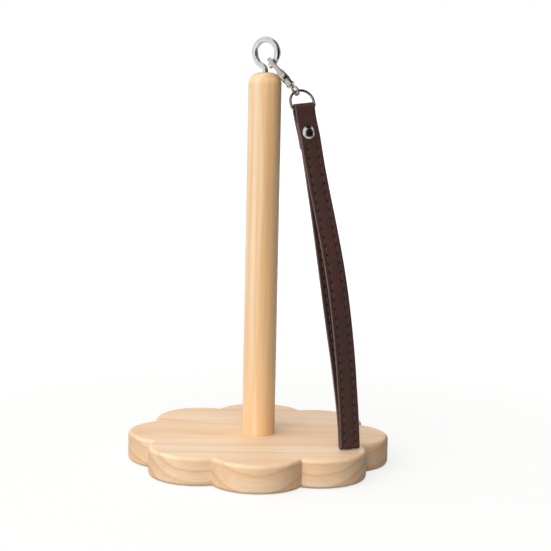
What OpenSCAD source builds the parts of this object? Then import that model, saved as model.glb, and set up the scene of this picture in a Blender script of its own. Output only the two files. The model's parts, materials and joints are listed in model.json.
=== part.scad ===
// Wrist yarn holder: a scalloped wooden base carries a post with a screw eye in its top.
// A swivel clasp hooks on the eye, and a stitched leather wrist strap hangs from its D-ring.
// The origin is the centre of the base's underside, with +Z along the post.

/* [Base] */
// Distance from the centre of the base to the tip of a lobe
base_r = 60; // [52:1:70]
// Number of lobes round the edge
lobe_count = 8; // [6:1:10]
// Radius of each lobe
lobe_r = 22; // [20:0.5:26]
// Thickness of the base
base_t = 13; // [11:0.5:18]
// Rounding of the base's upper and lower edges
base_round = 1.7; // [0.5:0.1:3]

/* [Post] */
// Radius of the post
post_r = 7.5; // [6:0.25:10]
// Height of the post above the base
post_h = 165.5; // [140:0.5:190]
// Depth of the post's socket in the base
post_seat = 5; // [3:0.5:6]
// Rounding of the post's top edge
post_round = 5; // [2:0.25:5.5]
// Gap between glued or screwed wood and what sits in it
wood_gap = 0.05; // [0.02:0.01:0.1]

/* [Post screw] */
// Radius of the screw's shank
screw_r = 2; // [1.5:0.1:2.5]
// Radius of the countersunk head
screw_head_r = 4; // [3:0.1:5]
// Height of the countersunk head
screw_head_h = 2.4; // [1.8:0.1:3]
// Length of the screw, head included
screw_len = 30; // [20:1:40]
// How far the head is sunk below the base's underside
screw_sink = 0.4; // [0.2:0.1:1]
// Length of the screw's point
screw_point = 4; // [2:0.5:6]
// Width of the cross recess in the head
screw_slot_w = 0.8; // [0.5:0.1:1.2]
// Depth of the cross recess in the head
screw_slot_d = 1.2; // [0.6:0.1:1.6]

/* [Screw eye] */
// Radius of the eye's wire
eye_wire_r = 1.4; // [1:0.05:1.6]
// Radius of the ring at the middle of its wire
eye_ring_r = 6; // [5.2:0.1:7]
// Length of the straight shank between the post and the bend
eye_neck = 0.5; // [0.3:0.05:3]
// Radius of the bend between shank and ring
eye_bend_r = 2.6; // [2:0.1:3.5]
// Turn of the bend between shank and ring, degrees
eye_bend_turn = 70; // [60:1:75]
// How much slimmer the wire is in the bend than in the ring
eye_bend_draw = 0.05; // [0.02:0.01:0.1]
// How far the end of the bend runs on inside the ring, degrees
eye_bend_lap = 3; // [2:1:5]
// Gap between the ring's cut end and the bend
eye_end_gap = 0.25; // [0.1:0.05:0.5]
// Depth of the shank in the post
eye_depth = 16; // [10:0.5:25]
// Length of the shank's point
eye_point = 3; // [2:0.5:5]

/* [Clasp] */
// Direction from the post in which the clasp hangs, degrees from +X
hang_turn = -55; // [-70:1:-40]
// Height of the clasp's axis over the post's rounded shoulder
clasp_lift = 2.6; // [2.4:0.05:4]
// Distance of the clasp's axis below the ring's centre
clasp_offset = 0.8; // [0:0.1:1]
// Turn of the hook about its own axis, from square to the eye's wire
clasp_roll = 25; // [0:1:28]
// Play between the eye's wire and each side of the hook's mouth
mouth_play = 1.1; // [0.9:0.05:1.6]
// Radius of the hook's rounded edges, half its stock
hook_r = 0.65; // [0.5:0.05:0.8]
// Half thickness of the hook
hook_half = 1.05; // [0.9:0.05:1.2]
// Play between the hook's bow and the eye's wire
hook_play = 0.6; // [0.4:0.05:0.8]
// Radius of the clasp's round body
body_r = 3.6; // [3.2:0.1:4.2]
// Half thickness of the body
body_half = 1.75; // [1.6:0.05:2]
// Rounding of the body's rim
body_round = 1.1; // [0.6:0.1:1.4]
// Depth of the mouth, from the bow's end
mouth_s = 9.5; // [9.4:0.1:11.5]
// Distance from the end of the mouth to the centre of the body
body_back = 1.4; // [1.3:0.1:2.2]
// Length of the straight stock between the bow and the hook's tip
tip_len = 1; // [0.6:0.1:1.4]
// Length of the swivel's barrel, from the centre of the body
barrel_len = 6; // [5.8:0.1:7.5]
// Wall of the barrel round the swivel's head
barrel_side = 0.55; // [0.4:0.05:0.8]
// Thickness of the barrel's end wall
barrel_wall = 1.1; // [0.9:0.05:1.3]

/* [Gate] */
// Radius of the gate's pin
pin_r = 0.5; // [0.4:0.05:0.6]
// Distance from the centre of the body back to the pin
pin_back = 0.3; // [0:0.1:0.6]
// Distance of the pin from the clasp's axis
pin_t = 2; // [1.8:0.05:2.2]
// Gap between the gate and its pin
pin_gap = 0.05; // [0.02:0.01:0.08]
// Half thickness of the gate
gate_half = 0.65; // [0.5:0.05:0.75]
// Width of the gate's arm
gate_w = 1.1; // [0.9:0.05:1.2]
// Wall of the gate's boss round the pin
gate_wall = 0.6; // [0.45:0.05:0.65]
// Gap between the gate and what it moves past
gate_gap = 0.3; // [0.2:0.05:0.4]
// How far the gate's outer edge lies inside the hook's
gate_inset = 0.1; // [0:0.05:0.3]
// How far the thumb tab stands out of the gate
tab_h = 1; // [0.6:0.1:1.4]
// Length of the thumb tab at its foot
tab_len_foot = 2.4; // [1.8:0.1:3]
// Length of each sloping end of the thumb tab
tab_slope = 0.6; // [0.3:0.1:0.8]
// Distance of the slot's floor beyond the clasp's axis
slot_floor = 1; // [0.8:0.05:1.2]
// Thickness of the leaf spring
spring_t = 0.25; // [0.15:0.05:0.35]
// Half width of the leaf spring
spring_half = 0.5; // [0.4:0.05:0.6]
// How far the leaf spring reaches out of the body into the mouth
spring_reach = 1; // [0.6:0.1:1.6]
// Gap between the leaf spring and what it presses on
spring_gap = 0.15; // [0.05:0.01:0.2]

/* [Swivel] */
// Radius of the swivel's shank
swivel_r = 0.8; // [0.7:0.05:0.9]
// How far the swivel's head stands out round its shank
swivel_lip = 0.4; // [0.3:0.05:0.6]
// Thickness of the swivel's head
swivel_head_t = 1.15; // [0.9:0.05:1.3]
// Running gap round the shank
swivel_gap = 0.08; // [0.03:0.01:0.1]
// Gap before and behind the head in the barrel, and past the barrel's end
swivel_clear = 0.3; // [0.2:0.05:0.4]
// Radius of the hole in the swivel's eye
swivel_hole_r = 1.4; // [1.3:0.05:1.7]
// Radius of the eye's stock
swivel_stock_r = 0.65; // [0.55:0.05:0.75]

/* [D-ring] */
// Radius of the D-ring's wire
d_wire_r = 0.6; // [0.5:0.05:0.7]
// Gap between each leg of the D-ring and the strap's edge
d_side_gap = 0.3; // [0.25:0.05:1]
// Height of the D-ring's straight legs
d_leg = 2.9; // [1.8:0.1:4]
// Radius of the D-ring's lower corners at the middle of the wire
d_corner_r = 1.3; // [1:0.1:1.8]
// Play between the D-ring and the swivel's eye
d_play = 0.3; // [0.2:0.05:0.4]
// How far the swivel's eye sits from the top of the arc, degrees
d_slip = 17; // [0:1:50]
// Lean of the D-ring towards the post, degrees
d_lean = 26; // [15:1:35]

/* [Strap] */
// Width of the strap
strap_w = 9.2; // [8:0.1:14]
// Thickness of each leather ply
ply_t = 0.6; // [0.5:0.05:1]
// Distance from the D-ring's bar to the foot of the loop
strap_drop = 152.6; // [140:0.2:175]
// Sideways tilt of the strap, degrees
strap_tilt = 5.4; // [2:0.2:10]
// Forward bulge of the front run
strap_bulge = 6.4; // [5:0.1:14]
// Forward bow of the whole loop
strap_bow = 1.8; // [0:0.1:3]
// Distance from the bar to where the runs part
loop_top = 17; // [16:0.5:30]
// Length of the tab behind, below the bar
tab_len = 18.5; // [16:0.5:30]
// Distance from the bar to the end of the back run between tab and front run
tongue_top = 5; // [4:0.25:6]
// Inner radius of the fold at the foot
foot_fold_r = 0.35; // [0.2:0.05:1]
// Play between the strap and the D-ring's bar
fold_play = 0.4; // [0.3:0.05:0.6]
// Gap between leather layers that lie on each other
layer_gap = 0.1; // [0.05:0.01:0.2]
// Glue line between the two plies
glue_gap = 0.04; // [0.02:0.01:0.06]
// Gap between the strap's foot and the base
foot_gap = 0.3; // [0.2:0.05:0.5]

/* [Rivet] */
// Radius of the rivet's caps
rivet_r = 2.9; // [2.5:0.1:3.5]
// Height of the front cap's straight rim
rivet_rim = 0.4; // [0.3:0.05:0.6]
// Rise of the front cap's dome over its rim
dome_rise = 0.9; // [0.5:0.1:1.2]
// Thickness of the flat back cap
rivet_back_h = 0.8; // [0.6:0.05:1]
// Rounding of the back cap's edges
rivet_back_round = 0.25; // [0.1:0.05:0.28]
// Wall of the rivet's tube
rivet_wall = 0.4; // [0.3:0.05:0.6]
// Radius of the stud inside the tube
rivet_stud_r = 0.8; // [0.6:0.05:0.9]
// Distance from the bar to the rivet
rivet_drop = 11; // [9:0.25:13]
// Gap between the rivet and what it passes through or sits on
rivet_gap = 0.04; // [0.02:0.01:0.06]

/* [Hidden] */
$fn = 72;

// Allowance that carries a cut past the face it opens
cut = 1;

// Base and post
lobe_c = base_r - lobe_r;
lobe_step = 360 / lobe_count;
post_foot = base_t - post_seat;
post_top = base_t + post_h;

// Screw eye, in the upright plane that the clasp hangs in
eye_reach = eye_ring_r + eye_bend_r;
eye_shift = eye_reach * cos(eye_bend_turn) - eye_bend_r;
eye_rise = eye_neck + eye_reach * sin(eye_bend_turn);
eye_end_reach = eye_bend_r + 2 * eye_wire_r + eye_end_gap;
eye_open = acos((pow(eye_reach, 2) + pow(eye_ring_r, 2) - pow(eye_end_reach, 2))
    / (2 * eye_reach * eye_ring_r));

// Clasp, along its own axis from the end of the bow
mouth_half = eye_wire_r + mouth_play;
bow_r = mouth_half + hook_r;
bow_s = bow_r + hook_r;
tip_s = bow_s + tip_len;
body_s = mouth_s + body_back;
pin_s = body_s + pin_back;
barrel_s = body_s + barrel_len;
wire_s = 2 * hook_r + eye_wire_r + hook_play;
clasp_start = sqrt(pow(eye_ring_r, 2) - pow(clasp_offset, 2)) - wire_s;
gate_boss_r = pin_r + pin_gap + gate_wall;
slot_half = gate_half + gate_gap;
slot_s = pin_s + gate_boss_r + 2 * gate_gap;
gate_out = mouth_half + 2 * hook_r - gate_inset;
gate_in = gate_out - gate_w;
nose_s = tip_s + gate_gap;

// The clasp hangs from the eye and lies over the post's shoulder
shoulder_out = post_r - post_round - eye_shift;
shoulder_down = eye_rise + post_round;
shoulder_away = norm([shoulder_out, shoulder_down]);
clasp_drop = acos((post_round + clasp_lift + clasp_offset) / shoulder_away)
    - atan2(shoulder_out, shoulder_down);

// Swivel
swivel_head_r = swivel_r + swivel_lip;
chamber_r = swivel_head_r + swivel_clear / 2;
barrel_r = chamber_r + barrel_side;
window_len = swivel_head_t + 2 * swivel_clear;
window_half = barrel_r / 2;
window_end = barrel_s - barrel_wall;
window_start = window_end - window_len;
swivel_mid_r = swivel_hole_r + swivel_stock_r;
swivel_c = barrel_s + swivel_clear + swivel_mid_r + swivel_stock_r;
link_s = swivel_c + swivel_hole_r - d_wire_r - d_play;

// Vectors turned about the axes
function turn_x(v, a) = [v[0], v[1] * cos(a) - v[2] * sin(a), v[1] * sin(a) + v[2] * cos(a)];
function turn_y(v, a) = [v[0] * cos(a) + v[2] * sin(a), v[1], v[2] * cos(a) - v[0] * sin(a)];
function turn_z(v, a) = [v[0] * cos(a) - v[1] * sin(a), v[0] * sin(a) + v[1] * cos(a), v[2]];
function from_hang(v) = turn_z(turn_y(v, clasp_drop), hang_turn);
function from_clasp(v) = from_hang(turn_x(v, -clasp_roll));
function from_d_ring(v) = turn_y(turn_x(v, -d_lean), -strap_tilt);

// D-ring: the point of its arc that lies in the swivel's eye, and its bar
d_arc_r = strap_w / 2 + d_side_gap + d_wire_r;
ring_centre = turn_z([eye_shift, 0, 0], hang_turn) + [0, 0, post_top + eye_rise];
link_point = ring_centre + from_hang([clasp_start + link_s, 0, -clasp_offset]);
link_to_bar = [d_arc_r * sin(d_slip), 0, -d_leg - d_arc_r * cos(d_slip)];
bar_point = link_point + from_d_ring(link_to_bar);

// The swivel's eye is turned so that its hole follows the D-ring's arc
arc_way = from_d_ring([cos(d_slip), 0, sin(d_slip)]);
swivel_turn = atan2(arc_way * from_clasp([0, 0, 1]), arc_way * from_clasp([0, 1, 0]));

// Strap: radii and offsets of the middle of its two plies
fold_r = d_wire_r + fold_play + ply_t;
layer_step = 2 * ply_t + layer_gap;
foot_r = foot_fold_r + ply_t;
foot_out_r = foot_r + ply_t;
foot_c = strap_drop - foot_out_r;

// The strap stands on the base, or hangs straight down if it is too short to reach it
strap_room = (bar_point[2] - base_t - foot_gap - strap_w / 2 * sin(strap_tilt)) / cos(strap_tilt)
    - foot_out_r;
foot_arm = sqrt(pow(foot_c, 2) + pow(foot_r, 2));
strap_lean = acos(min(1, strap_room / foot_arm)) - atan2(foot_r, foot_c);

// Smooth step from 0 to 1
function ease(x) = x <= 0 ? 0 : x >= 1 ? 1 : x * x * (3 - 2 * x);

// Distance of the tab, the back run and the front run from the bar's upright, at a depth below the bar
fold_steps = 14;
run_steps = 48;
foot_steps = 10;
function near_bar(u) = fold_r + (layer_step - fold_r) * ease(u / tongue_top);
function loop_part(u) = max(0, min(1, (u - loop_top) / (foot_c - loop_top)));
function swell(u) = pow(sin(180 * loop_part(u)), 2);
function back_out(u) = strap_bow * swell(u);
function front_out(u) =
    near_bar(u) + (2 * foot_r - layer_step) * ease(loop_part(u)) + (strap_bow + strap_bulge) * swell(u);

// Middle line of the strap: up the tab, over the bar, down the front, round the foot and up the back
tab_path = [for (u = [tab_len, tongue_top, tongue_top / 2]) [near_bar(u), -u]];
fold_path = [for (i = [0:fold_steps]) fold_r * [cos(180 * i / fold_steps), sin(180 * i / fold_steps)]];
front_path = [for (i = [1:run_steps]) let (u = foot_c * i / run_steps) [-front_out(u), -u]];
foot_path = [for (i = [1:foot_steps])
    [-foot_r - foot_r * cos(180 * i / foot_steps), -foot_c - foot_r * sin(180 * i / foot_steps)]];
back_path = [for (i = [run_steps - 1:-1:0])
    let (u = tongue_top + (foot_c - tongue_top) * i / run_steps) [-back_out(u), -u]];
strap_path = concat(tab_path, fold_path, front_path, foot_path, back_path);
strap_end = len(strap_path) - 1;

// Points beside the middle line, on its outer side for a positive distance
function path_way(i) = strap_path[min(i + 1, strap_end)] - strap_path[max(i - 1, 0)];
function beside(i, d) = let (w = path_way(i)) strap_path[i] + d * [w[1], -w[0]] / norm(w);
function ply_outline(inner, outer) =
    concat([for (i = [0:strap_end]) beside(i, outer)], [for (i = [strap_end:-1:0]) beside(i, inner)]);

// Rivet: its seats on the front run and on the tab
front_face = layer_step + ply_t;
rivet_tube_r = rivet_stud_r + rivet_gap + rivet_wall;
dome_r = (pow(rivet_r, 2) + pow(dome_rise, 2)) / (2 * dome_rise);

// Colours
wood_pale = [0.92, 0.81, 0.68];
wood_warm = [0.90, 0.74, 0.55];
nickel = [0.78, 0.78, 0.76];
steel = [0.62, 0.63, 0.65];
leather = [0.27, 0.18, 0.17];
leather_inside = [0.34, 0.23, 0.20];

// Places of the moving groups
module at_hang() {
    rotate([0, 0, hang_turn]) translate([0, 0, post_top]) children();
}
module at_clasp() {
    at_hang() translate([eye_shift, 0, eye_rise]) rotate([0, clasp_drop, 0])
        translate([clasp_start, 0, -clasp_offset]) rotate([-clasp_roll, 0, 0]) children();
}
module at_d_ring() {
    translate(bar_point) rotate([0, -strap_tilt, 0]) rotate([-d_lean, 0, 0]) children();
}
module at_strap() {
    translate(bar_point) rotate([0, -strap_tilt, 0]) rotate([-strap_lean, 0, 0]) children();
}

// Solid of revolution with both rims rounded
module round_disc(r, h, rim) {
    rotate_extrude() {
        square([r - rim, h]);
        translate([0, rim]) square([r, h - 2 * rim]);
        for (z = [rim, h - rim]) translate([r - rim, z]) intersection() {
            circle(r = rim);
            translate([rim - r, -rim]) square([r, 2 * rim]);
        }
    }
}

module base() {
    color(wood_pale) difference() {
        union() {
            cylinder(r = lobe_c, h = base_t);
            for (i = [0:lobe_count - 1])
                rotate([0, 0, lobe_step * (i + 0.5)]) translate([lobe_c, 0, 0])
                    round_disc(lobe_r, base_t, base_round);
        }
        translate([0, 0, post_foot]) cylinder(r = post_r + wood_gap, h = post_seat + cut);
        translate([0, 0, -cut]) cylinder(r = screw_r + wood_gap, h = base_t);
        translate([0, 0, -cut]) cylinder(r = screw_head_r + wood_gap, h = screw_sink + cut);
        translate([0, 0, screw_sink])
            cylinder(r1 = screw_head_r + wood_gap, r2 = screw_r + wood_gap, h = screw_head_h);
    }
}

// The post's side, its rounded shoulder and its flat top
module post_profile() {
    square([post_r, post_seat + post_h - post_round]);
    translate([0, post_seat + post_h - post_round]) {
        square([post_r - post_round, post_round]);
        translate([post_r - post_round, 0]) intersection() {
            circle(r = post_round);
            square(post_round);
        }
    }
}

module post() {
    color(wood_warm) difference() {
        translate([0, 0, post_foot]) rotate_extrude() post_profile();
        translate([0, 0, post_foot - cut])
            cylinder(r = screw_r + wood_gap, h = screw_sink + screw_len - post_foot + cut + wood_gap);
        translate([0, 0, post_top - eye_depth - wood_gap])
            cylinder(r = eye_wire_r + wood_gap, h = eye_depth + cut);
    }
}

module post_screw() {
    shank_end = screw_len - screw_point;
    color(steel) translate([0, 0, screw_sink]) difference() {
        union() {
            cylinder(r1 = screw_head_r, r2 = screw_r, h = screw_head_h);
            translate([0, 0, screw_head_h]) cylinder(r = screw_r, h = shank_end - screw_head_h);
            translate([0, 0, shank_end]) cylinder(r1 = screw_r, r2 = 0, h = screw_point);
        }
        for (a = [0, 90]) rotate([0, 0, a])
            translate([-screw_r, -screw_slot_w / 2, -cut])
                cube([2 * screw_r, screw_slot_w, screw_slot_d + cut]);
    }
}

module screw_eye() {
    color(nickel) at_hang() {
        translate([0, 0, eye_point - eye_depth])
            cylinder(r = eye_wire_r, h = eye_depth - eye_point + eye_neck);
        translate([0, 0, -eye_depth]) cylinder(r1 = 0, r2 = eye_wire_r, h = eye_point);
        rotate([90, 0, 0]) translate([-eye_bend_r, eye_neck]) {
            rotate_extrude(angle = eye_bend_turn + eye_bend_lap) translate([eye_bend_r, 0])
                circle(r = eye_wire_r - eye_bend_draw);
            rotate([0, 0, eye_bend_turn]) translate([eye_reach, 0]) rotate([0, 0, 180]) mirror([0, 1, 0])
                rotate_extrude(angle = 360 - eye_open) translate([eye_ring_r, 0]) circle(r = eye_wire_r);
        }
    }
}

// Section of the hook's stock, rounded on both edges, with its thickness along Y
module hook_section() {
    flat_half = hook_half - hook_r;
    for (y = [-flat_half, flat_half]) translate([0, y]) circle(r = hook_r);
    translate([-hook_r, -flat_half]) square([2 * hook_r, 2 * flat_half]);
}

// Straight length of the hook's stock along the clasp, on one side of the mouth
module hook_bar(side, end) {
    translate([bow_s, side * bow_r, 0]) rotate([0, 90, 0])
        linear_extrude(end - bow_s) rotate(90) hook_section();
}

module clasp_body() {
    translate([body_s, 0, -body_half]) round_disc(body_r, 2 * body_half, body_round);
    rotate([0, 90, 0]) translate([0, 0, body_s]) cylinder(r = barrel_r, h = barrel_s - body_s);
}

module clasp_hook() {
    color(nickel) at_clasp() difference() {
        union() {
            translate([bow_s, 0, 0]) rotate([0, 0, 90]) rotate_extrude(angle = 180)
                translate([bow_r, 0]) hook_section();
            hook_bar(1, tip_s);
            hook_bar(-1, body_s);
            difference() {
                clasp_body();
                translate([0, -mouth_half, -body_half - cut])
                    cube([mouth_s, mouth_half + body_r + cut, 2 * (body_half + cut)]);
            }
        }
        translate([mouth_s - cut, -slot_floor, -slot_half])
            cube([slot_s - mouth_s + cut, slot_floor + body_r + cut, 2 * slot_half]);
        translate([pin_s, pin_t, -body_half - cut])
            cylinder(r = pin_r + pin_gap / 2, h = 2 * (body_half + cut));
        translate([window_start, 0, 0]) rotate([0, 90, 0]) cylinder(r = chamber_r, h = window_len);
        translate([window_start, -window_half, -barrel_r - cut])
            cube([window_len, 2 * window_half, 2 * (barrel_r + cut)]);
        translate([window_end - cut, 0, 0]) rotate([0, 90, 0])
            cylinder(r = swivel_r + swivel_gap, h = barrel_wall + 2 * cut);
    }
}

module gate_pin() {
    color(steel) at_clasp() translate([pin_s, pin_t, -body_half]) cylinder(r = pin_r, h = 2 * body_half);
}

// A leaf from the floor of the slot, bent forward to the underside of the gate
spring_from = [slot_s - spring_gap, -slot_floor / 2];
spring_bend = [mouth_s, -slot_floor];
spring_to = [mouth_s - spring_reach, gate_in - spring_gap - spring_t];
spring_steps = 12;
function spring_point(f) = pow(1 - f, 2) * spring_from + 2 * f * (1 - f) * spring_bend + f * f * spring_to;
function spring_way(f) = (1 - f) * (spring_bend - spring_from) + f * (spring_to - spring_bend);
function spring_beside(f, d) = let (w = spring_way(f)) spring_point(f) + d * [w[1], -w[0]] / norm(w);

module gate_spring() {
    sides = [for (i = [0:spring_steps]) i / spring_steps];
    color(steel) at_clasp() translate([0, 0, -spring_half]) linear_extrude(2 * spring_half)
        polygon(concat([for (f = sides) spring_beside(f, 0)],
            [for (i = [spring_steps:-1:0]) spring_beside(sides[i], spring_t)]));
}

module clasp_gate() {
    gate_t = 2 * gate_half;
    arm_half = gate_boss_r - gate_wall / 2;
    tab_s = mouth_s - gate_gap;
    tab_foot = tab_s - tab_len_foot;
    tab_in = gate_out - gate_w / 2;
    tab_out = gate_out + tab_h;
    color(nickel) at_clasp() translate([0, 0, -gate_half]) difference() {
        union() {
            translate([pin_s, pin_t, 0]) cylinder(r = gate_boss_r, h = gate_t);
            linear_extrude(gate_t) polygon([[nose_s, gate_in], [nose_s, gate_out], [pin_s, pin_t + arm_half],
                [pin_s, pin_t - arm_half], [mouth_s, gate_in - gate_gap]]);
            linear_extrude(gate_t) polygon([[tab_foot, tab_in], [tab_foot + tab_slope, tab_out],
                [tab_s - tab_slope, tab_out], [tab_s, tab_in]]);
        }
        translate([pin_s, pin_t, -cut]) cylinder(r = pin_r + pin_gap, h = gate_t + 2 * cut);
    }
}

module swivel_eye() {
    head_s = window_end - swivel_clear / 2 - swivel_head_t;
    color(nickel) at_clasp() {
        rotate([0, 90, 0]) translate([0, 0, head_s]) {
            cylinder(r = swivel_head_r, h = swivel_head_t);
            cylinder(r = swivel_r, h = swivel_c - swivel_mid_r - head_s);
        }
        translate([swivel_c, 0, 0]) rotate([swivel_turn - 90, 0, 0]) rotate_extrude()
            translate([swivel_mid_r, 0]) circle(r = swivel_stock_r);
    }
}

module d_ring() {
    bar_half = d_arc_r - d_corner_r;
    color(nickel) at_d_ring() {
        rotate([0, 90, 0]) translate([0, 0, -bar_half]) cylinder(r = d_wire_r, h = 2 * bar_half);
        rotate([90, 0, 0]) {
            for (side = [0, 1]) mirror([side, 0, 0]) translate([bar_half, d_corner_r]) rotate([0, 0, -90])
                rotate_extrude(angle = 90) translate([d_corner_r, 0]) circle(r = d_wire_r);
            translate([0, d_leg]) rotate_extrude(angle = 180) translate([d_arc_r, 0]) circle(r = d_wire_r);
        }
        for (side = [-1, 1]) translate([side * d_arc_r, 0, d_corner_r])
            cylinder(r = d_wire_r, h = d_leg - d_corner_r);
    }
}

// One leather ply: its side outline carried across the strap's width, with the rivet's hole
module strap_ply(inner, outer) {
    at_strap() difference() {
        rotate([90, 0, 90]) translate([0, 0, -strap_w / 2]) linear_extrude(strap_w)
            polygon(ply_outline(inner, outer));
        translate([0, front_face + cut, -rivet_drop]) rotate([90, 0, 0])
            cylinder(r = rivet_tube_r + rivet_gap, h = 2 * (front_face + cut));
    }
}

module strap_outer() {
    color(leather) strap_ply(glue_gap / 2, ply_t);
}

module strap_lining() {
    color(leather_inside) strap_ply(-ply_t, -glue_gap / 2);
}

// Turned so that +Z points out of the front run
module at_rivet() {
    at_strap() translate([0, 0, -rivet_drop]) rotate([90, 0, 0]) children();
}

module rivet_cap() {
    color(nickel) at_rivet() difference() {
        union() {
            translate([0, 0, front_face + rivet_gap]) {
                cylinder(r = rivet_r, h = rivet_rim);
                intersection() {
                    translate([0, 0, rivet_rim + dome_rise - dome_r]) sphere(r = dome_r);
                    translate([0, 0, rivet_rim]) cylinder(r = rivet_r, h = dome_rise + cut);
                }
            }
            translate([0, 0, -front_face]) cylinder(r = rivet_tube_r, h = 2 * front_face + rivet_gap);
        }
        translate([0, 0, -front_face - cut]) cylinder(r = rivet_stud_r + rivet_gap, h = 2 * front_face + cut);
    }
}

module rivet_stud() {
    color(nickel) at_rivet() {
        translate([0, 0, -front_face - rivet_gap - rivet_back_h])
            round_disc(rivet_r, rivet_back_h, rivet_back_round);
        translate([0, 0, -front_face - rivet_gap])
            cylinder(r = rivet_stud_r, h = 2 * front_face - rivet_stud_r);
    }
}

base();
post();
post_screw();
screw_eye();
clasp_hook();
gate_pin();
gate_spring();
clasp_gate();
swivel_eye();
d_ring();
strap_outer();
strap_lining();
rivet_cap();
rivet_stud();
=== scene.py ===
"""Looks of the wrist yarn holder: wood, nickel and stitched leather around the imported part."""

import json
import math

import bpy
import numpy as np
from mathutils import Matrix, Vector

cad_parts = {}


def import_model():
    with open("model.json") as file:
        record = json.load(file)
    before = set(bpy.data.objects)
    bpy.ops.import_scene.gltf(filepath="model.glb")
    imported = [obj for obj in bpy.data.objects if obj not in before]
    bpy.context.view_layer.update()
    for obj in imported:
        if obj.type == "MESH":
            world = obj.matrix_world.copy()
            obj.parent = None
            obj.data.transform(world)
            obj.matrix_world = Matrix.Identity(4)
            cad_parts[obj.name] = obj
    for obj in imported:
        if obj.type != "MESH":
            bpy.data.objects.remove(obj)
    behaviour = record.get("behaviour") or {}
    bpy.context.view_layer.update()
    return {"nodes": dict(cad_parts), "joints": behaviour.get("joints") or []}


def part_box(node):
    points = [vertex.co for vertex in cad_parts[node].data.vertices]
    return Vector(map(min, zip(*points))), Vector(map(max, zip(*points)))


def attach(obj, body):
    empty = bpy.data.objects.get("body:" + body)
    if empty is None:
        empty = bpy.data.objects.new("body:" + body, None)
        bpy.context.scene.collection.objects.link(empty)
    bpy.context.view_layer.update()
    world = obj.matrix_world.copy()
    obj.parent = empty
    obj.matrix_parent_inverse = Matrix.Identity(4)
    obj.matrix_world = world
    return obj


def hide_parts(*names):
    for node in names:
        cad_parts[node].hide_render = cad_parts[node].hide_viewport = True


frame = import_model()
joints = {j["name"]: j for j in frame["joints"]}
MM = 0.001
UP = Vector((0, 0, 1))
WHITE = (1.0, 1.0, 1.0)

# Camera at the photograph's view, in metres, degrees and, for the lens, millimetres
CAMERA_PLACE = (-0.2926, -0.7234, 0.2063)
CAMERA_HEADING = 22.5
CAMERA_PITCH = 8.73
CAMERA_ROLL = 1.18
CAMERA_LENS = 113.07
CAMERA_SENSOR = 36.0
CAMERA_NEAREST = 0.01

# Strap, in millimetres, the sizes of the solids that it stands for
STRAP_W = 9.2
PLY = 0.6
GLUE = 0.04
BAR_R = 0.6
FOLD_PLAY = 0.4
LAYER_GAP = 0.1
STRAP_DROP = 152.6
LOOP_TOP = 17.0
TAB_LEN = 18.5
TONGUE_TOP = 5.0
FOOT_FOLD_R = 0.35
BULGE = 6.4
BOW = 1.8
RIVET_DROP = 11.0
RIVET_HOLE_R = 1.28

# Steps of the strap's mesh, in millimetres and counts
PATH_STEP = 0.55
FINE_STEP = 0.05
FOLD_POINTS = 120
FOOT_POINTS = 80
EDGE_STEPS = 4
FACE_COLUMNS = 40
PUNCH_SIDES = 48
THREAD_ROUNDS = 9
THREAD_SIDES = 8
BEND_POINTS = 600

# Edges and stitching of the leather, in millimetres, and the power by which a stitch dives at its ends
CORNER_R = 1.4
EDGE_ROUND = 0.22
PILLOW = 0.07
STITCH_INSET = 2.0
STITCH_PITCH = 4.0
STITCH_LEN = 3.0
STITCH_FROM = 8.0
STITCH_TO = 4.0
SEWN_FADE = 3.0
FOOT_CLEAR = 6.0
THREAD_R = 0.24
THREAD_PROUD = 0.1
THREAD_SINK = 0.14
DIVE_POWER = 6
GROOVE = 0.14
GROOVE_HALF = 0.42
HOLE_DIP = 0.2
HOLE_LONG = 0.75
HOLE_WIDE = 0.6

# How the loop hangs: distances down from the D-ring's bar or up from the foot and sideways shifts, in
# millimetres, and the power that moves its wave up
FOOT_BEND_FROM = 50.0
FOOT_BEND_TO = 6.0
FOOT_SIDE = 0.6
SWAY_FROM = 12.0
SWAY_TO = 45.0
SWAY_WAVE = 1.15
WAVE_FROM = 14.0
WAVE_TO = 30.0
WAVE_SKEW = 0.8

# Wood: RING_WANDER and WOOD_RELIEF in millimetres, RING_UNEVEN in rings, the rest shares and roughness
RING_WANDER = 6.0
RING_UNEVEN = 1.6
YEAR_STOPS = ((0.0, 0.55), (0.1, 0.0), (0.45, 0.08), (0.82, 0.42), (0.95, 1.0), (1.0, 0.55))
SAWN_FROM = 0.2
SAWN_TO = 0.9
SAWN_LINES = 0.5
STREAK_SHARE = 0.4
FIBRE_SHARE = 0.25
PORE_SHARE = 0.22
END_SHARE = 0.3
END_LINES = 0.35
WOOD_GLOSS = 0.35
WOOD_ROUGH = 0.42
FIBRE_ROUGH = 0.2
FIBRE_RELIEF = 0.6
LINE_RELIEF = 0.4
WOOD_RELIEF = 0.035
LACQUER_ROUGH = 0.16

# Metal, leather and thread: reliefs in millimetres, shares and roughness
MARK_ROUGH = 0.12
MARK_RELIEF = 0.004
GRAIN_WARP = (0.7, 0.7, 0.7)
CREASE_SHARE = 0.4
# Painted shade in the needle holes: how much of it there is and its near-black colour
HOLE_SHADE_SHARE = 0.92
HOLE_SHADE_COLOUR = (0.006, 0.003, 0.003)
LEATHER_GLOSS = 0.25
LEATHER_ROUGH = 0.46
FINE_ROUGH = 0.2
FINE_RELIEF = 0.02
PEBBLE_RELIEF = 0.12
EDGE_ROUGH = 0.5
EDGE_RELIEF = 0.05
THREAD_ROUGH = 0.55
THREAD_RELIEF = 0.05

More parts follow.
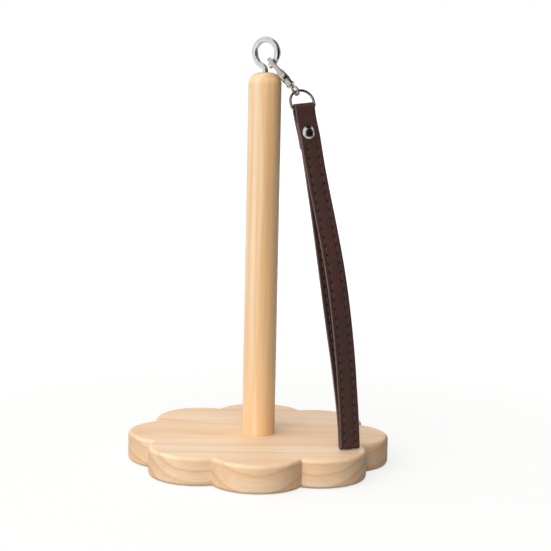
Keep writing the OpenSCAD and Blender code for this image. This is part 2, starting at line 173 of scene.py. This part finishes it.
# Stage: lengths in metres, tints, strengths of light and how much of a card is solid
OBJECT_MIDDLE = Vector((0, 0, 0.1))
LAMP_TINT = (1.0, 0.985, 0.96)
TOP_TINT = (1.0, 0.99, 0.97)
SKY_TINT = (1.0, 0.985, 0.965)
SKY_DARK = 0.03
SKY_LIT = 1.2
SKY_EDGE = (0.1, 0.42)
FLOOR_SIZE = 12.0
FLOOR_PLACE = (0, 0, -0.0002)
FLOOR_COLOUR = (0.22, 0.22, 0.22)
FLOOR_GLOW_NEAR = 0.76
FLOOR_GLOW_FAR = 1.0
FLOOR_NEAR = 0.12
FLOOR_FAR = 0.6
CARD_COLOUR = (0.012, 0.012, 0.012)
CARD_SOLID = 0.45
CARD_FULL = 0.8

# Directions as the camera sees them, level with the floor
HEADING = math.radians(CAMERA_HEADING)
AHEAD = Vector((math.sin(HEADING), math.cos(HEADING), 0))
RIGHT = Vector((math.cos(HEADING), -math.sin(HEADING), 0))


def seen(right, ahead, up):
    """A point that far to the right of the post, behind it and above the floor, as the camera sees it."""
    return RIGHT * right + AHEAD * ahead + UP * up


SKY_WAY = seen(-0.74, -0.52, 0.36).normalized()


def camera():
    data = bpy.data.cameras.new("camera")
    data.lens = CAMERA_LENS
    data.sensor_width = CAMERA_SENSOR
    data.clip_start = CAMERA_NEAREST
    obj = bpy.data.objects.new("camera", data)
    turn = Matrix.Rotation(math.radians(-CAMERA_HEADING), 3, "Z")
    turn = turn @ Matrix.Rotation(math.radians(90 - CAMERA_PITCH), 3, "X")
    turn = turn @ Matrix.Rotation(math.radians(CAMERA_ROLL), 3, "Z")
    obj.matrix_world = Matrix.Translation(CAMERA_PLACE) @ turn.to_4x4()
    bpy.context.scene.collection.objects.link(obj)
    bpy.context.scene.camera = obj


class Nodes:
    """A node tree under construction: most calls add a node and return its output."""

    def __init__(self, tree):
        self.tree = tree

    def put(self, socket, value):
        if isinstance(value, bpy.types.NodeSocket):
            self.tree.links.new(value, socket)
        elif isinstance(value, tuple) and len(value) == 3 and len(socket.default_value) == 4:
            socket.default_value = (*value, 1)
        else:
            socket.default_value = value

    def node(self, kind, **inputs):
        """A whole node. An underscore in an input's name stands for a space."""
        made = self.tree.nodes.new(kind)
        for name, value in inputs.items():
            self.put(made.inputs[name.replace("_", " ")], value)
        return made

    def math(self, operation, *values):
        made = self.node("ShaderNodeMath")
        made.operation = operation
        for socket, value in zip(made.inputs, values):
            self.put(socket, value)
        return made.outputs[0]

    def plus(self, a, b):
        return self.math("ADD", a, b)

    def times(self, a, b):
        return self.math("MULTIPLY", a, b)

    def vector(self, operation, *values):
        made = self.node("ShaderNodeVectorMath")
        made.operation = operation
        for socket, value in zip(made.inputs, values):
            self.put(socket, value)
        return made.outputs["Value" if operation in ("DOT_PRODUCT", "LENGTH") else "Vector"]

    def coordinates(self, output):
        return self.node("ShaderNodeTexCoord").outputs[output]

    def noise(self, vector, scale=1.0, detail=3.0, roughness=0.55):
        made = self.node("ShaderNodeTexNoise", Vector=vector, Scale=scale, Detail=detail, Roughness=roughness)
        return made.outputs[0]

    def steps(self, value, *stops):
        """Grey level that follows value through (place, level) stops."""
        made = self.node("ShaderNodeValToRGB")
        self.put(made.inputs[0], value)
        ramp = made.color_ramp.elements
        while len(ramp) < len(stops):
            ramp.new(1.0)
        for element, (place, level) in zip(ramp, stops):
            element.position = place
            element.color = (level, level, level, 1)
        return made.outputs[0]

    def ramp(self, value, start, stop, first, last):
        """Smooth change from first to last as value goes from start to stop."""
        made = self.node("ShaderNodeMapRange")
        made.interpolation_type = "SMOOTHSTEP"
        for socket, item in zip(made.inputs, (value, start, stop, first, last)):
            self.put(socket, item)
        return made.outputs["Result"]

    def blend(self, share, a, b):
        """Colour between a and b. Sockets 6 and 7, and output 2, are the colour ones."""
        made = self.node("ShaderNodeMix")
        made.data_type = "RGBA"
        self.put(made.inputs[0], share)
        self.put(made.inputs[6], a)
        self.put(made.inputs[7], b)
        return made.outputs[2]

    def plainly_seen(self):
        """1 for rays from the camera and for those seen in gloss or through glass."""
        path = self.node("ShaderNodeLightPath")
        share = path.outputs["Is Camera Ray"]
        for name in ("Is Glossy Ray", "Is Transmission Ray"):
            share = self.math("MAXIMUM", share, path.outputs[name])
        return share

    def mix_shaders(self, share, a, b, out):
        mix = self.node("ShaderNodeMixShader")
        for socket, value in zip(mix.inputs, (share, a, b)):
            self.put(socket, value)
        self.put(out, mix.outputs[0])


class Shader(Nodes):
    """A surface material under construction."""

    def __init__(self, name):
        self.material = bpy.data.materials.new(name)
        self.material.use_nodes = True
        super().__init__(self.material.node_tree)
        self.bsdf = self.tree.nodes["Principled BSDF"]

    def set(self, **inputs):
        for name, value in inputs.items():
            self.put(self.bsdf.inputs[name.replace("_", " ")], value)

    def place(self, turn=(0, 0, 0), scale=(1, 1, 1), shift=(0, 0, 0), of=None):
        """Millimetre coordinates of the part, or the given ones, turned and stretched."""
        if of is None:
            of = self.vector("MULTIPLY", self.coordinates("Object"), (1 / MM,) * 3)
        made = self.node("ShaderNodeMapping", Vector=of, Scale=scale, Location=shift)
        made.inputs["Rotation"].default_value = [math.radians(a) for a in turn]
        return made.outputs[0]

    def bump(self, height, depth, under=None):
        """Lays a relief on the surface, over another one if given. Height 1 stands for depth millimetres."""
        made = self.node("ShaderNodeBump", Height=height, Distance=depth * MM)
        if under is not None:
            self.put(made.inputs["Normal"], under)
        self.set(Normal=made.outputs[0])
        return made.outputs[0]


def wood(name, turn, grain, pith, heart, ring, lines, band, edge, lacquer, pale, warm, late, end):
    """Sanded pale wood. turn lays the grain along X, pith is the tree's centre in that frame, and grain is
    the way of the grain on the part. The wood is warm within the first distance of heart from the pith, and
    pale past the second. edge is how much warmer the sawn edges are than the planed top, and lacquer is how
    much of a shine it has."""
    s = Shader(name)
    at = s.place(turn=turn)
    # Growth rings, which drift slowly along the grain
    drift = s.noise(s.place(of=at, scale=(0.011, 0.045, 0.045)), detail=2.0)
    split = s.node("ShaderNodeSeparateXYZ", Vector=at)
    across = s.math("SUBTRACT", split.outputs["Y"], pith[0])
    depth = s.math("SUBTRACT", split.outputs["Z"], pith[1])
    away = s.math("SQRT", s.plus(s.times(across, across), s.times(depth, depth)))
    wander = s.times(s.math("SUBTRACT", drift, 0.5), RING_WANDER)
    rings = s.math("DIVIDE", s.plus(away, wander), ring)
    uneven = s.noise(s.node("ShaderNodeCombineXYZ", X=rings).outputs[0], scale=0.45, detail=1.0)
    year = s.math("FRACT", s.plus(rings, s.times(uneven, RING_UNEVEN)))
    dark_line = s.steps(year, *YEAR_STOPS)
    # Warm heart, broad warm bands and warm sawn edges
    bands = s.noise(s.place(of=at, scale=(0.006, band, band), shift=(3, 7, 1)), detail=2.0)
    core = s.ramp(s.plus(away, wander), heart[0], heart[1], 1.0, 0.0)
    share = s.math("MAXIMUM", s.steps(bands, (0.35, 0.0), (0.7, 0.85)), core)
    flat = s.math("ABSOLUTE", s.vector("DOT_PRODUCT", s.coordinates("Normal"), tuple(UP)))
    sawn = s.ramp(flat, SAWN_FROM, SAWN_TO, edge, 0.0)
    colour = s.blend(s.math("MAXIMUM", share, sawn), pale, warm)
    lines = s.math("MULTIPLY_ADD", sawn, SAWN_LINES, lines)
    colour = s.blend(s.times(dark_line, lines), colour, late)
    # Streaks, fibres and pores
    streak = s.noise(s.place(of=at, scale=(0.012, 0.55, 0.55), shift=(5, 1, 4)), detail=3.0, roughness=0.6)
    streak = s.steps(streak, (0.45, 0.0), (0.72, 1.0))
    colour = s.blend(s.times(streak, STREAK_SHARE), colour, late)
    fibre = s.noise(s.place(of=at, scale=(0.035, 1.7, 1.7)), detail=4.0, roughness=0.65)
    colour = s.blend(s.times(s.steps(fibre, (0.3, 0.0), (0.75, 1.0)), FIBRE_SHARE), colour, late)
    pores = s.noise(s.place(of=at, scale=(0.16, 3.6, 3.6), shift=(0, 5, 9)), detail=2.0)
    pores = s.steps(pores, (0.0, 0.0), (0.6, 0.0), (0.74, 1.0))
    colour = s.blend(s.times(pores, PORE_SHARE), colour, end)
    # End grain drinks more finish, so it is darker and its rings are stronger
    facing = s.math("ABSOLUTE", s.vector("DOT_PRODUCT", s.coordinates("Normal"), grain))
    ends = s.steps(facing, (0.45, 0.0), (0.95, 1.0))
    ends = s.times(ends, s.plus(END_SHARE, s.times(dark_line, END_LINES)))
    colour = s.blend(ends, colour, end)
    s.set(Base_Color=colour, Specular_IOR_Level=WOOD_GLOSS, Coat_Weight=lacquer, Coat_Roughness=LACQUER_ROUGH)
    s.set(Roughness=s.plus(WOOD_ROUGH, s.times(fibre, FIBRE_ROUGH)))
    s.bump(s.plus(s.times(fibre, FIBRE_RELIEF), s.times(dark_line, LINE_RELIEF)), WOOD_RELIEF)
    return s.material


def nickel(name, colour, tarnish, gloss, waves=0.0):
    """Bright plate with faint wiping marks and a little tarnish. waves is how uneven a casting is, in mm."""
    s = Shader(name)
    at = s.place()
    cloud = s.noise(at, scale=0.35, detail=3.0)
    marks = s.noise(s.place(of=at, scale=(0.6, 6.0, 3.0), turn=(20, 35, 10)), detail=4.0, roughness=0.7)
    s.set(Base_Color=s.blend(s.steps(cloud, (0.45, 0.0), (0.8, 0.6)), colour, tarnish), Metallic=1.0)
    s.set(Roughness=s.plus(gloss, s.times(marks, MARK_ROUGH)))
    plate = s.bump(marks, MARK_RELIEF)
    if waves:
        uneven = s.noise(s.place(of=at, shift=(4, 2, 9)), scale=0.4, detail=1.5)
        s.bump(uneven, waves, under=plate)
    return s.material


def leather(name, colour, worn, deep):
    """Fine pebbled leather with soft colour drift, dark creases and painted shade in its needle holes."""
    s = Shader(name)
    at = s.place()
    drift = s.noise(at, scale=0.16, detail=3.0)
    warp = s.node("ShaderNodeTexNoise", Vector=at, Scale=1.1).outputs["Color"]
    warped = s.vector("ADD", at, s.vector("MULTIPLY", warp, GRAIN_WARP))
    grain = s.node("ShaderNodeTexVoronoi", Vector=warped, Scale=1.9).outputs["Distance"]
    fine = s.noise(at, scale=5.5, detail=3.0)
    pebble = s.math("SUBTRACT", 1.0, s.steps(grain, (0.1, 0.0), (0.75, 1.0)))
    tone = s.blend(s.steps(drift, (0.38, 0.0), (0.62, 1.0)), colour, worn)
    tone = s.blend(s.times(s.math("SUBTRACT", 1.0, pebble), CREASE_SHARE), tone, deep)
    # Painted shade: the leather is darkened toward near black in the needle holes, by a mask stored on the
    # mesh
    hole_shade = s.node("ShaderNodeAttribute")
    hole_shade.attribute_name = "hole_shade"
    tone = s.blend(s.times(hole_shade.outputs["Fac"], HOLE_SHADE_SHARE), tone, HOLE_SHADE_COLOUR)
    s.set(Base_Color=tone, Specular_IOR_Level=LEATHER_GLOSS)
    s.set(Roughness=s.plus(LEATHER_ROUGH, s.times(fine, FINE_ROUGH)))
    s.bump(pebble, PEBBLE_RELIEF, under=s.bump(fine, FINE_RELIEF))
    return s.material


def cut_edge(name, colour, deep):
    """Painted cut edge of the leather, with faint lengthwise layers."""
    s = Shader(name)
    layers = s.noise(s.place(scale=(0.3, 2.2, 0.12)), detail=3.0)
    s.set(Base_Color=s.blend(s.steps(layers, (0.35, 0.0), (0.7, 1.0)), colour, deep), Roughness=EDGE_ROUGH)
    s.bump(layers, EDGE_RELIEF)
    return s.material


def thread(name, colour, light):
    """Waxed thread with the slant of its twist."""
    s = Shader(name)
    twist = s.node("ShaderNodeTexWave", Vector=s.place(turn=(35, 30, 0)), Scale=1.1, Distortion=0.4)
    twist = twist.outputs["Fac"]
    s.set(Base_Color=s.blend(twist, colour, light), Roughness=THREAD_ROUGH)
    s.bump(twist, THREAD_RELIEF)
    return s.material


def dress(node, material):
    """Gives a CAD node its finish."""
    data = frame["nodes"][node].data
    data.materials.clear()
    data.materials.append(material)
    data.polygons.foreach_set("material_index", [0] * len(data.polygons))


base_wood = wood(
    "base_wood", turn=(0, 0, CAMERA_HEADING), grain=tuple(RIGHT), pith=(10, -90), heart=(80, 90),
    ring=6.0, lines=0.5, band=0.06, edge=0.4, lacquer=0.0,
    pale=(0.84, 0.70, 0.535), warm=(0.81, 0.56, 0.345), late=(0.70, 0.38, 0.16), end=(0.60, 0.36, 0.18))
post_wood = wood(
    "post_wood", turn=(0, 90, 0), grain=tuple(UP), pith=(-22, 0), heart=(15, 19),
    ring=5.5, lines=0.3, band=0.12, edge=0.0, lacquer=0.25,
    pale=(0.85, 0.66, 0.45), warm=(0.855, 0.555, 0.285), late=(0.62, 0.34, 0.15), end=(0.60, 0.38, 0.20))
eye_metal = nickel("eye_metal", colour=(0.62, 0.64, 0.65), tarnish=(0.45, 0.46, 0.46), gloss=0.14)
clasp_metal = nickel("clasp_metal", colour=(0.52, 0.49, 0.44), tarnish=(0.27, 0.235, 0.18), gloss=0.12,
                     waves=0.18)
# The D-ring's plate is much darker than the other nickel: painted shade for the dark surroundings that it
# reflects
ring_metal_painted_shade = nickel("ring_metal_painted_shade", colour=(0.26, 0.26, 0.25), tarnish=(0.18, 0.16, 0.14), gloss=0.16)
rivet_metal = nickel("rivet_metal", colour=(0.62, 0.59, 0.54), tarnish=(0.46, 0.42, 0.36), gloss=0.12)
steel = nickel("steel", colour=(0.56, 0.57, 0.58), tarnish=(0.42, 0.40, 0.37), gloss=0.25)
face_leather = leather("face_leather", colour=(0.080, 0.029, 0.027), worn=(0.057, 0.031, 0.022),
                       deep=(0.030, 0.012, 0.010))
back_leather = leather("back_leather", colour=(0.058, 0.024, 0.021), worn=(0.052, 0.029, 0.020),
                       deep=(0.026, 0.011, 0.010))
edge_paint = cut_edge("edge_paint", colour=(0.135, 0.086, 0.082), deep=(0.085, 0.050, 0.047))
brown_thread = thread("brown_thread", colour=(0.038, 0.019, 0.017), light=(0.092, 0.054, 0.050))

FINISHES = {
    base_wood: ["base"],
    post_wood: ["post"],
    eye_metal: ["screw_eye"],
    clasp_metal: ["clasp_hook", "clasp_gate", "swivel_eye"],
    ring_metal_painted_shade: ["d_ring"],
    rivet_metal: ["rivet_cap", "rivet_stud"],
    steel: ["post_screw", "gate_pin", "gate_spring"],
}
for finish, members in FINISHES.items():
    for member in members:
        dress(member, finish)

# Strap: its middle line in the plane across its width, out from the D-ring's bar and up
FOLD_R = BAR_R + FOLD_PLAY + PLY
LAYER_STEP = 2 * PLY + LAYER_GAP
FOOT_R = FOOT_FOLD_R + PLY
FOOT_OUT_R = FOOT_R + PLY
FOOT_C = STRAP_DROP - FOOT_OUT_R
STITCH_X = STRAP_W / 2 - STITCH_INSET
PUNCH_REACH = 2 * LAYER_STEP


def ease(x):
    """0 up to x = 0, 1 from x = 1 on, and smooth between."""
    x = np.clip(x, 0, 1)
    return x * x * (3 - 2 * x)


def near_bar(u):
    """How far the tab and the front run stand out from the bar's plane, u millimetres down."""
    return FOLD_R + (LAYER_STEP - FOLD_R) * ease(u / TONGUE_TOP)


def loop_part(u):
    """0 at the loop's top and 1 at its foot."""
    return np.clip((u - LOOP_TOP) / (FOOT_C - LOOP_TOP), 0, 1)


def swell(u):
    """Share of the loop's opening, widest halfway down."""
    return np.sin(math.pi * loop_part(u)) ** 2


def front_out(u):
    """How far the front run stands out."""
    return near_bar(u) + (2 * FOOT_R - LAYER_STEP) * ease(loop_part(u)) + (BOW + BULGE) * swell(u)


def strap_line():
    """Points of the strap's middle line at even steps, their outward normals and their distances along it."""
    tab = np.arange(TAB_LEN, 0, -FINE_STEP)
    turn = np.radians(np.linspace(0, 180, FOLD_POINTS))
    run = np.arange(FINE_STEP, FOOT_C, FINE_STEP)
    bend = np.radians(np.linspace(0, 180, FOOT_POINTS))
    back = np.arange(FOOT_C - FINE_STEP, TONGUE_TOP, -FINE_STEP)
    rough = np.concatenate([
        np.stack([near_bar(tab), -tab], 1),
        FOLD_R * np.stack([np.cos(turn), np.sin(turn)], 1),
        np.stack([-front_out(run), -run], 1),
        np.stack([-FOOT_R - FOOT_R * np.cos(bend), -FOOT_C - FOOT_R * np.sin(bend)], 1),
        np.stack([-BOW * swell(back), -back], 1),
    ])
    gone = np.concatenate([[0], np.cumsum(np.linalg.norm(np.diff(rough, axis=0), axis=1))])
    even = np.linspace(0, gone[-1], int(gone[-1] / PATH_STEP) + 1)
    middle = np.stack([np.interp(even, gone, rough[:, k]) for k in (0, 1)], 1)
    way = np.gradient(middle, axis=0)
    way /= np.linalg.norm(way, axis=1)[:, None]
    return middle, np.stack([way[:, 1], -way[:, 0]], 1), even


line, outward, along = strap_line()
strap_length = along[-1]
foot_at = along[np.argmin(line[:, 1])]
stitch_first = TAB_LEN + math.pi * FOLD_R + RIVET_DROP + STITCH_FROM
stitch_last = strap_length - (LOOP_TOP - TONGUE_TOP) - STITCH_TO
stitches = np.arange(stitch_first, stitch_last - STITCH_LEN, STITCH_PITCH)
holes = np.append(stitches, stitches[-1] + STITCH_PITCH) - (STITCH_PITCH - STITCH_LEN) / 2

# The strap's frame: it swings on the bar, tilts with it and leans until its foot stands on the base
bar_point = Vector(joints["strap_swing"]["pos_m"])
bar_way = -Vector(joints["strap_swing"]["axis"])
strap_tilt = math.atan2(bar_way.z, bar_way.x)
foot_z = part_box("strap_outer")[0].z
foot_depth = (bar_point.z - foot_z) / MM - STRAP_W / 2 * math.sin(strap_tilt)
strap_room = foot_depth / math.cos(strap_tilt) - FOOT_OUT_R
strap_lean = math.acos(strap_room / math.hypot(FOOT_C, FOOT_R)) - math.atan2(FOOT_R, FOOT_C)
strap_frame = Matrix.Translation(bar_point) @ Matrix.Rotation(-strap_tilt, 4, "Y")
strap_frame = strap_frame @ Matrix.Rotation(-strap_lean, 4, "X") @ Matrix.Scale(MM, 4)

# The loop sways and waves sideways, and its lower end bends back until its foot is level on the base
bend_u = np.linspace(0, STRAP_DROP, BEND_POINTS)
bend_step = bend_u[1]
bend_share = ease((bend_u - STRAP_DROP + FOOT_BEND_FROM) / (FOOT_BEND_FROM - FOOT_BEND_TO))
sway_share = ease((bend_u - SWAY_FROM) / (SWAY_TO - SWAY_FROM)) * (1 - bend_share)
sway = (strap_tilt * bend_share.sum() + FOOT_SIDE / bend_step) / sway_share.sum()
wave = SWAY_WAVE * np.sin(2 * math.pi * (bend_u / STRAP_DROP) ** WAVE_SKEW)
wave *= ease(bend_u / WAVE_FROM) * ease((STRAP_DROP - bend_u) / WAVE_TO)
bend_angle = strap_tilt * bend_share - sway * sway_share - np.gradient(wave, bend_step)
bend_shift = -np.cumsum(np.sin(bend_angle)) * bend_step
bend_drop = STRAP_W / 2 * math.tan(strap_tilt) * bend_share


def on_strap(where, x, out):
    """A point at a distance along the strap, across it and out from its middle line."""
    middle_y, middle_z = (np.interp(where, along, line[:, k]) for k in (0, 1))
    way_y, way_z = (np.interp(where, along, outward[:, k]) for k in (0, 1))
    y = middle_y + out * way_y
    z = middle_z + out * way_z
    angle, shift, drop = (np.interp(-z, bend_u, v) for v in (bend_angle, bend_shift, bend_drop))
    return np.stack(np.broadcast_arrays(shift + x * np.cos(angle), y, z - drop - x * np.sin(angle)), -1)


def sewn(where):
    """1 where the strap is stitched, fading to 0 past the ends of the rows."""
    return ease((where - stitch_first) / SEWN_FADE + 1) * ease((stitch_last - where) / SEWN_FADE + 1)


def in_hole(where, x):
    """1 in the middle of a needle hole, between two stitches, falling to 0 round it."""
    off = np.abs(np.abs(x) - STITCH_X)
    to_hole = np.abs(where[..., None] - holes).min(-1)
    return np.exp(-(off / HOLE_WIDE) ** 2 - (to_hole / HOLE_LONG) ** 2) * sewn(where)


def relief(where, x):
    """Height of the leather's face over its plain thickness: furrows under the thread, dips at its holes."""
    off = np.abs(np.abs(x) - STITCH_X)
    furrow = GROOVE * np.exp(-(off / GROOVE_HALF) ** 2)
    crown = PILLOW * np.cos(np.clip(x / STITCH_X, -1, 1) * math.pi / 2) ** 2
    return (crown - furrow - HOLE_DIP * in_hole(where, x)) * sewn(where)


def half_width(where):
    """Half the strap's width, rounded off at its two cut ends."""
    end = np.clip(np.minimum(where, strap_length - where), 0, CORNER_R)
    return STRAP_W / 2 - CORNER_R + np.sqrt(np.maximum(CORNER_R ** 2 - (CORNER_R - end) ** 2, 0))


def mesh_object(name, points, faces, materials, slots):
    """An object from points in the strap's frame."""
    data = bpy.data.meshes.new(name)
    data.from_pydata([tuple(p) for p in points], [], faces)
    for material in materials:
        data.materials.append(material)
    data.polygons.foreach_set("material_index", slots)
    data.polygons.foreach_set("use_smooth", [True] * len(faces))
    data.transform(strap_frame)
    data.update()
    obj = bpy.data.objects.new(name, data)
    bpy.context.scene.collection.objects.link(obj)
    return obj


def ply(name, glued, face, material):
    """One leather ply, from its glued side to its face, with rounded edges along the face."""
    side = 1 if face > glued else -1
    wide = half_width(along)
    flat = wide - EDGE_ROUND
    edges = {}
    for sign in (-1, 1):
        edges[sign] = [(sign * wide, np.full_like(along, glued))]
        for a in np.linspace(0, math.pi / 2, EDGE_STEPS + 1):
            out = face - side * EDGE_ROUND * (1 - np.sin(a))
            edges[sign].append((sign * (flat + EDGE_ROUND * np.cos(a)), np.full_like(along, out)))
    columns = [c * flat for c in np.linspace(-1, 1, FACE_COLUMNS)[1:-1]]
    top = [(x, face + side * relief(along, x)) for x in columns]
    ring = edges[-1] + top + edges[1][::-1]
    section = np.stack([on_strap(along, x, out) for x, out in ring], 1)
    count = len(ring)
    glued_quad = count - 1
    faces = []
    slots = []
    for i in range(len(along) - 1):
        for k in range(count):
            j = (k + 1) % count
            quad = (i * count + k, i * count + j, (i + 1) * count + j, (i + 1) * count + k)
            faces.append(quad if side > 0 else quad[::-1])
            on_edge = k < EDGE_STEPS or glued_quad - EDGE_STEPS <= k < glued_quad
            slots.append(int(on_edge))
    caps = [tuple(range(count))[::-1], tuple(range((len(along) - 1) * count, len(along) * count))]
    for cap in caps:
        faces.append(cap if side > 0 else cap[::-1])
        slots.append(1)
    made = mesh_object(name, section.reshape(-1, 3), faces, [material, edge_paint], slots)
    # Mask of the painted shade in the needle holes, stored on the mesh for the leather's colour
    hole_shade = np.stack([in_hole(along, np.broadcast_to(x, along.shape)) for x, out in ring], 1)
    made.data.attributes.new("hole_shade", "FLOAT", "POINT").data.foreach_set("value", hole_shade.ravel())
    return made


def punch(plies):
    """Cuts the rivet's hole through every layer of the strap."""
    turn = np.linspace(0, 2 * math.pi, PUNCH_SIDES, endpoint=False)
    x = RIVET_HOLE_R * np.cos(turn)
    z = RIVET_HOLE_R * np.sin(turn) - RIVET_DROP
    points = [(a, y, b) for y in (PUNCH_REACH, -PUNCH_REACH) for a, b in zip(x, z)]
    faces = []
    for k in range(PUNCH_SIDES):
        j = (k + 1) % PUNCH_SIDES
        faces.append((k, j, PUNCH_SIDES + j, PUNCH_SIDES + k))
    faces.append(tuple(reversed(range(PUNCH_SIDES))))
    faces.append(tuple(range(PUNCH_SIDES, 2 * PUNCH_SIDES)))
    tool = mesh_object("punch", points, faces, [], [0] * len(faces))
    for piece in plies:
        hole = piece.modifiers.new("hole", "BOOLEAN")
        hole.operation = "DIFFERENCE"
        hole.solver = "EXACT"
        hole.object = tool
    graph = bpy.context.evaluated_depsgraph_get()
    for piece in plies:
        cut = bpy.data.meshes.new_from_object(piece.evaluated_get(graph))
        piece.modifiers.clear()
        piece.data = cut
    bpy.data.objects.remove(tool)


def stitching(name, face, skip_foot):
    """Rows of thread on one face of the strap. Each stitch dives into its two holes."""
    side = 1 if face > 0 else -1
    turn = np.linspace(0, 2 * math.pi, THREAD_SIDES, endpoint=False)
    points = []
    faces = []
    for start in stitches:
        if skip_foot and abs(start + STITCH_LEN / 2 - foot_at) < FOOT_CLEAR:
            continue
        for row in (-STITCH_X, STITCH_X):
            first = len(points)
            for t in np.linspace(0, 1, THREAD_ROUNDS):
                where = np.array(start + STITCH_LEN * t)
                dive = (2 * t - 1) ** DIVE_POWER * (THREAD_R + THREAD_SINK)
                middle = face + side * (THREAD_PROUD - GROOVE - dive)
                for a in turn:
                    across = row + THREAD_R * math.cos(a)
                    points.append(on_strap(where, across, middle + THREAD_R * math.sin(a)))
            for r in range(THREAD_ROUNDS - 1):
                here = first + r * THREAD_SIDES
                there = here + THREAD_SIDES
                for k in range(THREAD_SIDES):
                    j = (k + 1) % THREAD_SIDES
                    faces.append((here + k, there + k, there + j, here + j))
            last = first + (THREAD_ROUNDS - 1) * THREAD_SIDES
            faces.append(tuple(first + k for k in range(THREAD_SIDES)))
            faces.append(tuple(last + k for k in reversed(range(THREAD_SIDES))))
    return mesh_object(name, points, faces, [brown_thread], [0] * len(faces))


outer = ply("strap_leather", GLUE / 2, PLY, face_leather)
lining = ply("strap_inner_leather", -GLUE / 2, -PLY, back_leather)
punch((outer, lining))
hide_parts("strap_outer")
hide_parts("strap_lining")
sewing = stitching("strap_stitching", PLY, skip_foot=False)
inner_sewing = stitching("strap_inner_stitching", -PLY, skip_foot=True)
for piece, slot in ((outer, "leather"), (lining, "lining"), (sewing, "leather"), (inner_sewing, "lining")):
    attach(piece, "strap")


def world():
    """White for the camera and in gloss, and for everything else a soft half dome of light."""
    made = bpy.data.worlds.new("studio")
    made.use_nodes = True
    n = Nodes(made.node_tree)
    fill = n.tree.nodes["Background"]
    facing = n.vector("DOT_PRODUCT", n.coordinates("Generated"), tuple(SKY_WAY))
    n.put(fill.inputs["Color"], SKY_TINT)
    n.put(fill.inputs["Strength"], n.ramp(facing, *SKY_EDGE, SKY_DARK, SKY_LIT))
    white = n.node("ShaderNodeBackground", Color=WHITE)
    surface = n.tree.nodes["World Output"].inputs["Surface"]
    n.mix_shaders(n.plainly_seen(), fill.outputs[0], white.outputs[0], surface)
    bpy.context.scene.world = made


def panel(name, size, place, look_at, material):
    """A flat square of the stage that faces a point."""
    half = size / 2
    corners = [(-half, -half, 0), (half, -half, 0), (half, half, 0), (-half, half, 0)]
    data = bpy.data.meshes.new(name)
    data.from_pydata(corners, [], [(0, 1, 2, 3)])
    data.materials.append(material)
    obj = bpy.data.objects.new(name, data)
    turn = (Vector(look_at) - Vector(place)).to_track_quat("Z", "Y")
    obj.matrix_world = Matrix.Translation(place) @ turn.to_matrix().to_4x4()
    bpy.context.scene.collection.objects.link(obj)
    return obj


def floor():
    """Pale floor that takes the object's shadow and shows as white paper."""
    s = Shader("paper")
    s.set(Base_Color=FLOOR_COLOUR, Roughness=1.0, Specular_IOR_Level=0.0)
    away = s.vector("LENGTH", s.node("ShaderNodeNewGeometry").outputs["Position"])
    level = s.ramp(away, FLOOR_NEAR, FLOOR_FAR, FLOOR_GLOW_NEAR, FLOOR_GLOW_FAR)
    glow = s.node("ShaderNodeEmission", Strength=level)
    both = s.node("ShaderNodeAddShader")
    s.put(both.inputs[0], s.bsdf.outputs[0])
    s.put(both.inputs[1], glow.outputs[0])
    surface = s.tree.nodes["Material Output"].inputs["Surface"]
    s.mix_shaders(s.plainly_seen(), s.bsdf.outputs[0], both.outputs[0], surface)
    panel("floor", FLOOR_SIZE, FLOOR_PLACE, UP, s.material)


def dark_card(name, size, place, look_at=OBJECT_MIDDLE, solid=CARD_SOLID):
    """A black card that only the bright metal sees, thinning out towards its edge from the solid share on."""
    s = Shader(name)
    s.set(Base_Color=CARD_COLOUR, Roughness=1.0, Specular_IOR_Level=0.0)
    away = s.vector("LENGTH", s.coordinates("Object"))
    s.set(Alpha=s.ramp(away, solid * size / 2, size / 2, 1.0, 0.0))
    card = panel(name, size, place, look_at, s.material)
    card.visible_camera = False
    card.visible_diffuse = False
    card.visible_shadow = False
    card.visible_transmission = False


def lamp(name, size, place, watts, tint):
    """A soft round lamp that doesn't show in gloss."""
    data = bpy.data.lights.new(name, "AREA")
    data.shape = "DISK"
    data.size = size
    data.energy = watts
    data.color = tint
    obj = bpy.data.objects.new(name, data)
    obj.location = place
    obj.rotation_euler = (OBJECT_MIDDLE - place).to_track_quat("-Z", "Y").to_euler()
    obj.visible_glossy = False
    bpy.context.scene.collection.objects.link(obj)


camera()
world()
floor()
lamp("key", size=1.7, place=seen(-0.6, -1.2, 0.95), watts=14.8, tint=LAMP_TINT)
lamp("top", size=0.8, place=seen(0.05, 0.1, 1.3), watts=1.6, tint=TOP_TINT)
lamp("low", size=0.8, place=seen(-0.3, -1.3, 0.28), watts=1.4, tint=LAMP_TINT)
lamp("back", size=1.6, place=seen(-0.1, 1.4, 0.6), watts=5.0, tint=LAMP_TINT)
dark_card("card_front", size=2.6, place=seen(0.9, -0.85, 0.2), solid=CARD_FULL)
dark_card("card_right", size=2.4, place=seen(1.07, 0.9, 0.3))
dark_card("card_high", size=1.5, place=seen(0.6, -0.1, 1.25))
dark_card("card_over", size=1.2, place=seen(0.42, -0.42, 1.3))
low_place = seen(0.73, -0.68, 0.004)
dark_card("card_low", size=1.7, place=low_place, look_at=low_place + UP, solid=CARD_FULL)
bpy.context.scene.view_settings.view_transform = "Standard"
